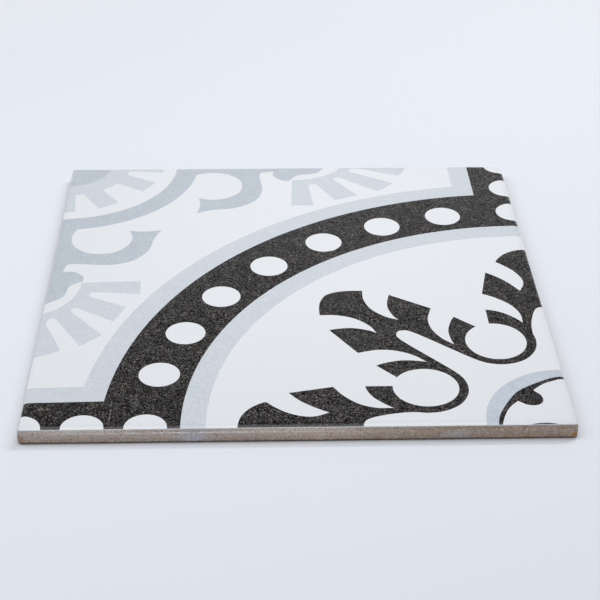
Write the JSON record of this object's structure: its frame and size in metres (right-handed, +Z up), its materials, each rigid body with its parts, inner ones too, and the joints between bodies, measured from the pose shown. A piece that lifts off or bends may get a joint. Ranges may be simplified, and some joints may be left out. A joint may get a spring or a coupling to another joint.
{
  "type": "patterned ceramic tile",
  "caption": "Square pressed ceramic tile with a cushion-edged glazed face printed with a quarter medallion, a stepped side wall and a keyed back, laid in adhesive to cover a floor or wall.",
  "frame": {"origin": "middle of the back, on the plane that the tile lies on", "axes": "+Z up, out of the glazed face; +X to the right and +Y away from the camera, along the sides; the printed medallion's centre is at the corner at +X, -Y"},
  "size_m": [0.25, 0.25, 0.008],
  "materials": {
    "glazed_ceramic": "satin glaze with a printed pattern over a bare taupe fired body"
  },
  "bodies": {
    "root": {"tile": "glazed_ceramic"}
  },
  "joints": []
}
